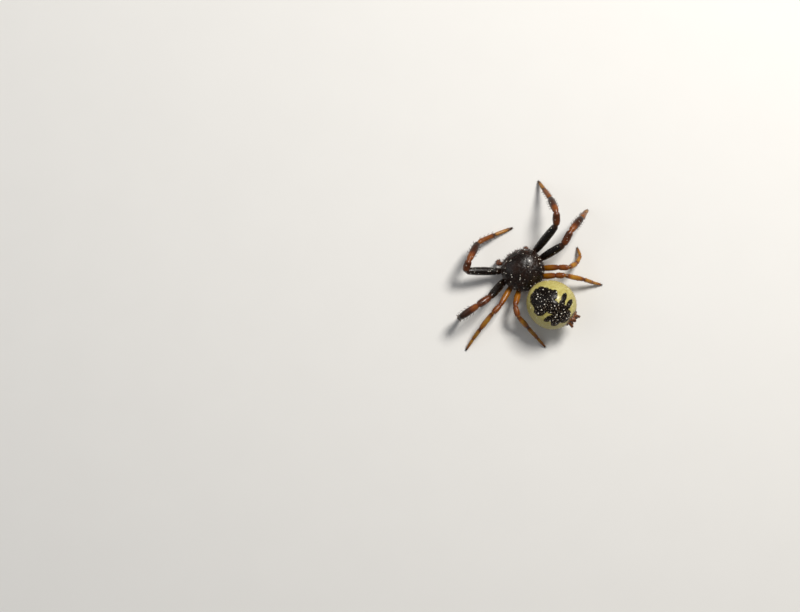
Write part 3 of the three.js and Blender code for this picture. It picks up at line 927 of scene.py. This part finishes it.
# Grooves (bearing from the head, depth) run out from a pit behind the middle
GROOVES = ((26, 0.012), (68, 0.01), (104, 0.01), (140, 0.01))
GROOVE = {"width": 8, "start": 0.25, "end": 1.5, "fade": 0.6}
PIT = {"back": 0.42, "depth": 0.025, "half_width": 0.06, "half_length": 0.16}
# The outer eyes stand on knobs: height and spread
EYE_KNOBS = {"front_lateral": (0.02, 0.19), "rear_lateral": (0.022, 0.17)}


def carapace_relief(unit):
    """How far the shell stands out or in."""
    points = carapace_points(unit)
    x, y = points[:, 0], points[:, 1] - PIT["back"]
    bearing = np.degrees(np.arctan2(np.abs(x), -y))
    away = np.hypot(x, y)
    length = np.clip(away / GROOVE["start"], 0, 1) * np.clip((GROOVE["end"] - away) / GROOVE["fade"], 0, 1)
    relief = np.zeros(len(unit))
    for angle, depth in GROOVES:
        relief -= depth * np.exp(-((bearing - angle) / GROOVE["width"]) ** 2) * length
    relief -= PIT["depth"] * np.exp(-((x / PIT["half_width"]) ** 2) - (y / PIT["half_length"]) ** 2)
    relief *= unit[:, 2] > 0
    for sign in SIDES.values():
        for name, (height, spread) in EYE_KNOBS.items():
            near = np.linalg.norm(points - on_carapace(*EYES[name][:2], sign), axis=1) / spread
            relief += height * np.exp(-near ** 2)
    return relief


def carapace_skin(unit):
    return carapace_points(unit) + carapace_out(unit) * carapace_relief(unit)[:, None]


def make_carapace():
    piece = ball("carapace_plate", (0, 0, 0), (1, 1, 1), 176, 110)
    reshape(piece, carapace_skin)
    finish(piece, materials["carapace"], ["carapace"])


def near_eyes(points, margin):
    near = np.zeros(len(points), dtype=bool)
    for sign in SIDES.values():
        for bearing, out, radius in EYES.values():
            near |= np.linalg.norm(points - on_carapace(bearing, out, sign), axis=1) < radius + margin
    return near


SPOTS = {"count": 420, "lowest": 0.02, "from_eyes": 0.06}


def carapace_spots():
    """Places on the shell, the ways out of it and their places on its unwrap, clear of the eyes."""
    unit = scatter(SPOTS["count"], SPOTS["lowest"])
    kept = ~near_eyes(carapace_points(unit), SPOTS["from_eyes"])
    unit = unit[kept]
    return carapace_skin(unit), carapace_out(unit), unit[:, :2] * 0.48 + 0.5


# Least and largest radii of the shell's grains, and the share of pale ones, raised grains whose white is a
# painted glint
PALE_RADII = (0.018, 0.038)
DARK_RADII = (0.024, 0.056)
PALE_SHARE = 0.15


def make_carapace_grains():
    roots, outs, patches = carapace_spots()
    # The pale grains are painted white as glints; the rest are dark grains
    pale = rng.random(len(roots)) < PALE_SHARE
    radii = np.where(pale, rng.uniform(*PALE_RADII, len(roots)), rng.uniform(*DARK_RADII, len(roots)))
    for name, chosen, material in (("carapace_grains", ~pale, "dark_grain"),
                                   ("carapace_pale_grains", pale, "glint_white_grain")):
        piece = grains(name, roots[chosen], outs[chosen], radii[chosen], patches[chosen])
        finish(piece, materials[material])


# A row of long bristles hangs over the face
BROW = {"count": 17, "spread": 62, "out": 0.985, "length": 0.24, "radius": 0.014}


def make_carapace_hair():
    roots, outs, patches = carapace_spots()
    lies = normed(along_skin(np.array([0, -1.0, 0.2]), outs) + rng.normal(0, 0.3, outs.shape))
    lengths = rng.uniform(0.08, 0.17, len(roots))
    piece = bristles("carapace_hair", roots, outs, lies, lengths, 0.009, patches, lean=0.5)
    finish(piece, materials["dark_hair"])
    bearings = np.linspace(-BROW["spread"], BROW["spread"], BROW["count"])
    roots = np.array([on_carapace(bearing, BROW["out"]) for bearing in bearings])
    outs = normed(roots - np.array([0, 0, 0.9]))
    lies = normed(np.tile([0, -0.3, -1.0], (len(roots), 1)))
    patches = np.c_[bearings / 140 + 0.5, np.full(len(roots), 0.03)]
    piece = bristles("brow_bristles", roots, outs, lies, BROW["length"], BROW["radius"], patches,
                     sides=5, lean=0.25)
    finish(piece, materials["spine"])


# Abdomen

def abdomen_points(unit, relief=0.0):
    swell = 1 + ABDOMEN["swell"] * unit[:, 1:2]
    half = np.array(ABDOMEN["half"]) + np.asarray(relief).reshape(-1, 1)
    return unit * half * np.c_[swell, np.ones(len(unit)), swell]


# Pits on the back, where muscles hold the skin, and fine folds round the front and the flanks
MUSCLE_PITS = ((0.0, -0.5), (0.2, -0.1), (-0.2, -0.1), (0.24, 0.3), (-0.24, 0.3))
PIT_DEPTH = 0.035
FOLD_HEIGHT = 0.016


def abdomen_relief(unit):
    """How far the skin stands out or in."""
    x, y, z = unit.T
    relief = np.zeros(len(unit))
    for across, back in MUSCLE_PITS:
        relief -= PIT_DEPTH * np.exp(-((x - across) ** 2 + (y - back) ** 2) / 0.0035) * (z > 0)
    level = np.arccos(np.clip(z, -1, 1))
    bearing = np.arctan2(x, -y)
    wave = np.sin(level * 46 + 2.2 * np.sin(bearing * 3) + 1.3 * np.sin(bearing * 7 + level * 5))
    fold = np.clip((level - 0.75) / 0.3, 0, 1) * np.clip((2.2 - level) / 0.5, 0, 1)
    relief += FOLD_HEIGHT * wave * fold * (0.45 + 0.55 * np.cos(bearing * 0.5) ** 2)
    return relief


def abdomen_out(unit):
    return swung(normed(unit / np.array(ABDOMEN["half"])))


def abdomen_skin(unit):
    return from_abdomen(abdomen_points(unit, abdomen_relief(unit)))


def make_abdomen():
    piece = ball("abdomen_skin", (0, 0, 0), (1, 1, 1), 200, 150)
    reshape(piece, abdomen_skin)
    finish(piece, materials["abdomen"], ["abdomen"])


def in_patch(local):
    x, y, z = local.T
    reaches = [np.hypot((x - across) / half_across, (y - back + lean * (x - across)) / half_back)
               for across, back, half_across, half_back, lean in LOBES]
    return (np.min(reaches, axis=0) < 0.9) & (z > 0)


# White grains, raised bumps whose white is a painted glint: places tried, share of them kept on the patch and
# anywhere, radii and share of each radius
WHITE_GRAINS = {"places": 250, "on_patch": 0.75, "anywhere": 0.05}
WHITE_RADII = {0.02: 0.4, 0.03: 0.35, 0.043: 0.25}


def make_abdomen_grains():
    """White grains sprinkled over the black patch, and a few beside it: raised bumps whose white is a painted
    glint.
    """
    unit = scatter(WHITE_GRAINS["places"], -0.1)
    on_patch = in_patch(abdomen_points(unit)) & (rng.random(len(unit)) < WHITE_GRAINS["on_patch"])
    unit = unit[on_patch | (rng.random(len(unit)) < WHITE_GRAINS["anywhere"])]
    radii = rng.choice(list(WHITE_RADII), len(unit), p=list(WHITE_RADII.values()))
    patches = unit[:, :2] * 0.48 + 0.5
    piece = grains("abdomen_grains", abdomen_skin(unit), abdomen_out(unit), radii, patches, tall=0.7)
    finish(piece, materials["glint_white_grain"])


ABDOMEN_COATS = {"abdomen_hair": (1500, "pale_hair"), "abdomen_dark_hair": (700, "dark_hair")}
BARE_AT_WAIST = {"centre": (0.02, 1.25, 1.15), "radius": 0.35}


def make_abdomen_hair():
    back = turned(np.array([[0, 1.0, -0.1]]), ABDOMEN["swing"], 2)[0]
    for name, (count, material) in ABDOMEN_COATS.items():
        unit = scatter(count, -0.98)
        away = abdomen_out(unit)
        roots = abdomen_skin(unit)
        lies = normed(along_skin(back, away) + rng.normal(0, 0.2, away.shape))
        shown = np.linalg.norm(roots - BARE_AT_WAIST["centre"], axis=1) > BARE_AT_WAIST["radius"]
        roots, away, lies, unit = roots[shown], away[shown], lies[shown], unit[shown]
        lengths = rng.uniform(0.06, 0.12, len(roots))
        patches = unit[:, :2] * 0.24 + np.where(unit[:, 2:] > 0, 0.25, 0.75)
        piece = bristles(name, roots, away, lies, lengths, 0.0055, patches, lean=0.7)
        finish(piece, materials[material])


# Head, underside and rear

def make_eyes():
    for side, sign in SIDES.items():
        for name, (bearing, out, radius) in EYES.items():
            centre = on_carapace(bearing, out, sign)
            eye = ball(f"{side}_{name}_eye", centre, (radius,) * 3)
            finish(eye, materials["eye"], [f"{side}_eye_{name}"])
            outward = carapace_out(head_direction(bearing, out, sign))[0]
            deselect()
            bpy.ops.mesh.primitive_torus_add(
                major_radius=radius * EYE_RIM["out"], minor_radius=radius * EYE_RIM["thick"],
                major_segments=28, minor_segments=8, location=(0, 0, 0))
            rim = taken(f"{side}_{name}_rim")
            facing = np.array(Vector(outward).to_track_quat("Z", "Y").to_matrix())
            reshape(rim, lambda points: points @ facing.T + centre + outward * radius * EYE_RIM["rise"])
            finish(rim, materials["socket"])


def make_mouth():
    for side, sign in SIDES.items():
        finish(jaws[side].skin(f"{side}_jaw"), materials["jaw"], [f"{side}_chelicera"])
        finish(palps[side].skin(f"{side}_feeler"), materials["feeler"], [f"{side}_palp"])
        t = np.linspace(0, 1, 12)
        points = curve(*on_side(sign, FANG), t[:, None])
        fang = tube(f"{side}_fang", points, FANG_RADIUS * (1 - 0.85 * t))
        finish(fang, materials["fang"])


PALP_HAIRS = 260
JAW_HAIRS = 90


def make_mouth_hair():
    rows = []
    limbs = [(palp, PALP_HAIRS) for palp in palps.values()] + [(jaw, JAW_HAIRS) for jaw in jaws.values()]
    for number, (limb, count) in enumerate(limbs):
        last = limb.places[-1]
        places = rng.uniform(0.25 * last, last * 0.97, count)
        degrees = rng.uniform(-180, 180, count)
        root, out, way = limb.around(places, degrees)
        rows.append((root, out, way, limb.chart(number, len(limbs), places, 0.5 + degrees / 360)))
    roots, outs, lies, patches = stacked(rows)
    lengths = rng.uniform(0.06, 0.14, len(roots))
    piece = bristles("mouth_hair", roots, outs, lies, lengths, 0.007, patches, lean=0.8)
    finish(piece, materials["dark_hair"])


def make_underside():
    plate = ball("breast_plate", BREAST_PLATE["centre"], BREAST_PLATE["half"], 48, 32)
    reshape(plate, lambda points: np.minimum(points, (np.inf, np.inf, BREAST_PLATE["top"])))
    finish(plate, materials["under"], ["sternum"])
    parts = [ball("lower_lip", LIP["centre"], LIP["half"])]
    for sign in SIDES.values():
        parts.append(ball("mouth_lobe", on_side(sign, MOUTH_LOBE["centre"]), MOUTH_LOBE["half"]))
    finish(joined("mouth_plates", parts), materials["jaw"])
    waist = Limb(WAIST, WAIST_RADII, WAIST_PROFILES)
    finish(waist.skin("waist"), materials["under"], ["pedicel"])


def make_spinnerets():
    root, splay = np.array(SPINNERETS["root"]), SPINNERETS["splay"]
    places, shares = zip(*SPINNERETS["taper"])
    steps = np.linspace(0, 1, 12)
    parts = [ball("spinneret_mound", root, SPINNERETS["mound"])]
    tips, ways = [], []
    for out, up, length, radius in SPINNERETS["cones"]:
        for sign in SIDES.values():
            way = np.array([sign * math.sin(splay), math.cos(splay), 0])
            base = root + np.array([sign * out, 0, up])
            points = np.linspace(base, base + way * length, len(steps))
            parts.append(tube("spinneret", *rounded_ends(points, radius * np.interp(steps, places, shares))))
            tips.append(points[-1])
            ways.append(way)
    knob, warts = SPINNERETS["knob"], SPINNERETS["warts"]
    parts.append(ball("anal_knob", root + np.array(knob["centre"]), knob["half"]))
    for turn in np.linspace(0, 2 * math.pi, warts["count"] + 1)[:-1]:
        size = warts["radius"] + warts["varies"] * rng.random()
        across, up = warts["across"] * math.cos(turn), warts["up"] * math.sin(turn)
        depth = 0.06 - 0.25 * (0.1 + root[2] + up) ** 2
        parts.append(ball("rim_wart", root + np.array([across, depth, up]), (size,) * 3, 18, 12))
    piece = joined("spinnerets_skin", parts)
    reshape(piece, from_abdomen)
    finish(piece, materials["spinneret"], ["spinnerets"])
    make_spinneret_hair(tips, ways)


def make_spinneret_hair(tips, ways, each=26):
    ways = np.repeat(ways, each, axis=0)
    roots = np.repeat(tips, each, axis=0) + rng.normal(0, 0.035, (len(ways), 3)) * np.array([1, 0.4, 1])
    outs = normed(ways + rng.normal(0, 0.35, ways.shape))
    lies = np.tile([0, 0, 1.0], (len(ways), 1))
    patches = np.c_[np.arange(len(ways)) / len(ways), np.full(len(ways), 0.5)]
    hair = bristles("spinneret_hair", from_abdomen(roots), swung(outs), lies, 0.09, 0.006, patches, lean=0.1)
    finish(hair, materials["gold_hair"])


# Floor, camera and light

FLOOR_SIZE = 0.6
PAPER = ((0.72, 0.71, 0.69), (0.74, 0.73, 0.71))


def make_floor():
    deselect()
    bpy.ops.mesh.primitive_plane_add(size=FLOOR_SIZE, location=(0, 0, 0))
    floor = taken("floor")
    made = Finish("floor_paper", Roughness=0.7)
    made.put("Base Color", made.mix(made.noise(0.3, 2), *PAPER))
    floor.data.materials.append(made.material)


# Camera: it looks straight down, turned so that the head points up and to the left as in the photo
PHOTO = {"width": 800, "height": 612, "carapace": (523, 270), "mm_per_pixel": 0.064}
HEAD_IN_PHOTO = Vector((-0.5025, 0.8646))  # right and up in the picture
CAMERA = {"distance": 150.0, "sensor": 36.0, "level": 1.3}


def make_camera():
    step = PHOTO["mm_per_pixel"]
    right = Vector((-HEAD_IN_PHOTO.y, -HEAD_IN_PHOTO.x, 0))
    up = Vector((HEAD_IN_PHOTO.x, -HEAD_IN_PHOTO.y, 0))
    across = (PHOTO["width"] / 2 - PHOTO["carapace"][0]) * step
    rise = (PHOTO["carapace"][1] - PHOTO["height"] / 2) * step
    centre = Vector(tuple(ORIGIN)) + right * across + up * rise
    centre.z = CAMERA["level"] + CAMERA["distance"]
    data = bpy.data.cameras.new("camera")
    data.sensor_width = CAMERA["sensor"]
    data.lens = CAMERA["sensor"] * CAMERA["distance"] / (PHOTO["width"] * step)
    data.clip_start, data.clip_end = 0.01, 5
    camera = added("camera", data)
    camera.location = centre * MM
    back = right.cross(up)
    camera.rotation_euler = Matrix((right, up, back)).transposed().to_euler()
    bpy.context.scene.camera = camera
    return right, up


# toward is right and up in the picture, and above. away and size are in millimetres
LIGHTS = {
    "key": {"toward": (0.45, 0.62, 1.0), "away": 150, "size": 42, "watts": 0.26, "tint": (1.0, 0.97, 0.92)},
    "fill": {"toward": (-0.9, 0.2, 0.8), "away": 160, "size": 120, "watts": 0.04, "tint": (0.92, 0.96, 1.0)},
}
WORLD = {"Color": (0.93, 0.94, 0.96, 1), "Strength": 0.2}


def make_lights(right, up):
    for name, light in LIGHTS.items():
        across, rise, above = light["toward"]
        direction = (right * across + up * rise + Vector((0, 0, above))).normalized()
        data = bpy.data.lights.new(name, "AREA")
        data.energy = light["watts"]
        data.size = light["size"] * MM
        data.color = light["tint"]
        lamp = added(name, data)
        lamp.location = direction * light["away"] * MM
        lamp.rotation_euler = direction.to_track_quat("Z", "Y").to_euler()
    world = bpy.data.worlds.new("studio")
    bpy.context.scene.world = world
    world.use_nodes = True
    for socket, value in WORLD.items():
        world.node_tree.nodes["Background"].inputs[socket].default_value = value
    bpy.context.scene.view_settings.view_transform = "Standard"


right, up = make_camera()
make_lights(right, up)
# The order matters: the pieces share one row of random draws
for make in (
    make_floor, make_legs, make_spines, make_claws, make_carapace, make_carapace_grains,
    make_carapace_hair, make_eyes, make_mouth, make_mouth_hair, make_underside, make_abdomen,
    make_abdomen_grains, make_abdomen_hair, make_spinnerets, make_leg_grains,
):
    make()
for name, coat in COATS.items():
    leg_coat(name, *coat)
